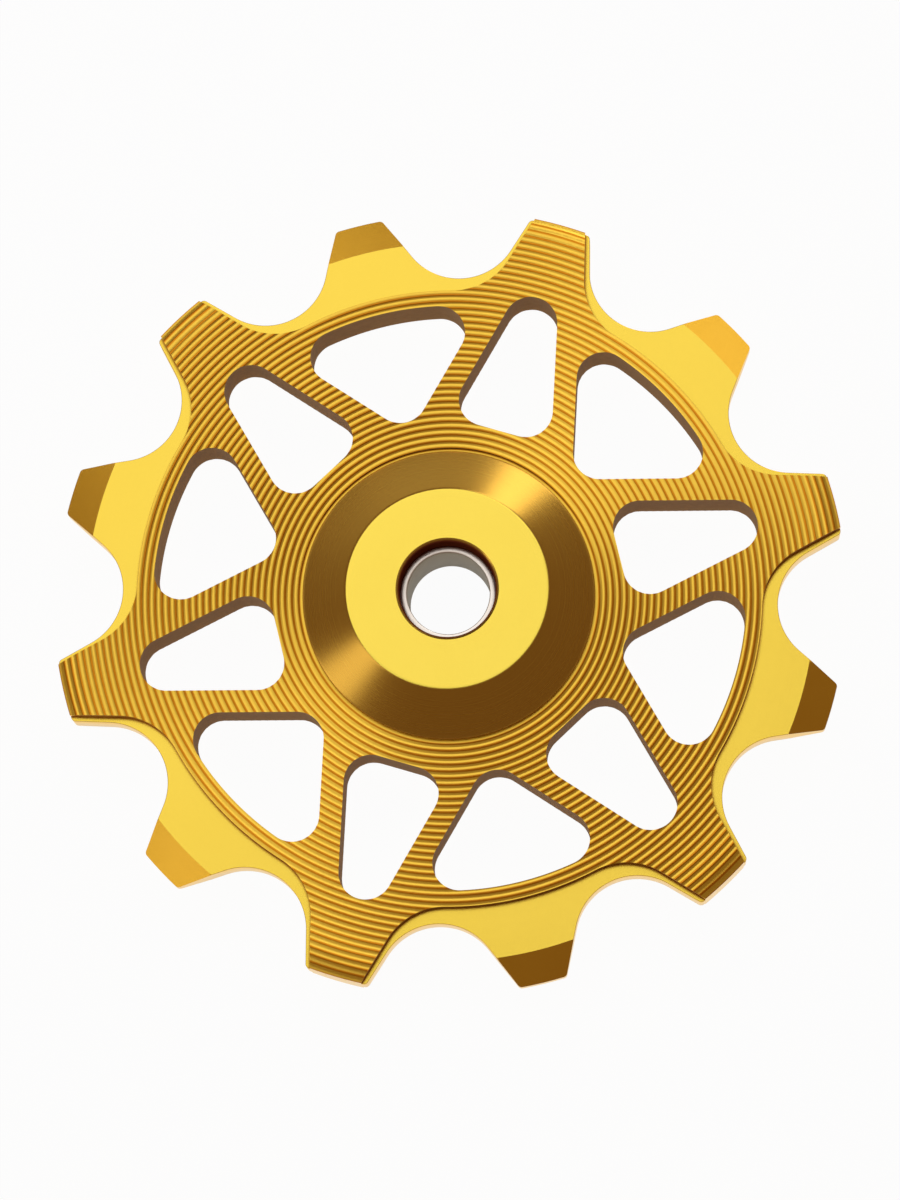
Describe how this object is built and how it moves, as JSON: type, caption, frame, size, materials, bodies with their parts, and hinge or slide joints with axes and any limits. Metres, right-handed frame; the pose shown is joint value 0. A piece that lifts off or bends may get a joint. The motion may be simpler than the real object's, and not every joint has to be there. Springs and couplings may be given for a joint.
{
  "type": "derailleur jockey wheel",
  "caption": "Narrow-wide jockey wheel of a bicycle rear derailleur: a toothed, spoked disc that turns on a sealed ball bearing between two conical covers.",
  "frame": {"origin": "middle of the wheel, on the axle's axis", "axes": "+Z along the axle towards the front cover, +X through a wide tooth"},
  "size_m": [0.05, 0.05, 0.0082],
  "materials": {
    "wheel_metal": "gold anodised, turned grooves",
    "cover_metal": "gold anodised, smooth",
    "bush_steel": "turned",
    "bearing_steel": "ground",
    "ball_steel": "polished",
    "seal_rubber": "matt",
    "cage_plastic": "moulded"
  },
  "bodies": {
    "hub": {"front_cover": "cover_metal", "back_cover": "cover_metal", "axle_bush": "bush_steel", "bearing_inner_ring": "bearing_steel"},
    "wheel": {"pulley_wheel": "wheel_metal", "bearing_outer_ring": "bearing_steel", "front_seal": "seal_rubber", "back_seal": "seal_rubber"},
    "ball_train": {"ball_cage": "cage_plastic", "ball_1": "ball_steel", "ball_2": "ball_steel", "ball_3": "ball_steel", "ball_4": "ball_steel", "ball_5": "ball_steel", "ball_6": "ball_steel", "ball_7": "ball_steel"}
  },
  "joints": [
    {"name": "wheel_spin", "type": "hinge", "parent": "hub", "child": "wheel", "pos_m": [0, 0, 0], "axis": [0, 0, 1], "continuous": true},
    {"name": "cage_spin", "type": "hinge", "parent": "hub", "child": "ball_train", "pos_m": [0, 0, 0], "axis": [0, 0, 1], "continuous": true}
  ],
  "couplings": [
    {"joint": "cage_spin", "follows": "wheel_spin", "ratio": 0.58822}
  ]
}
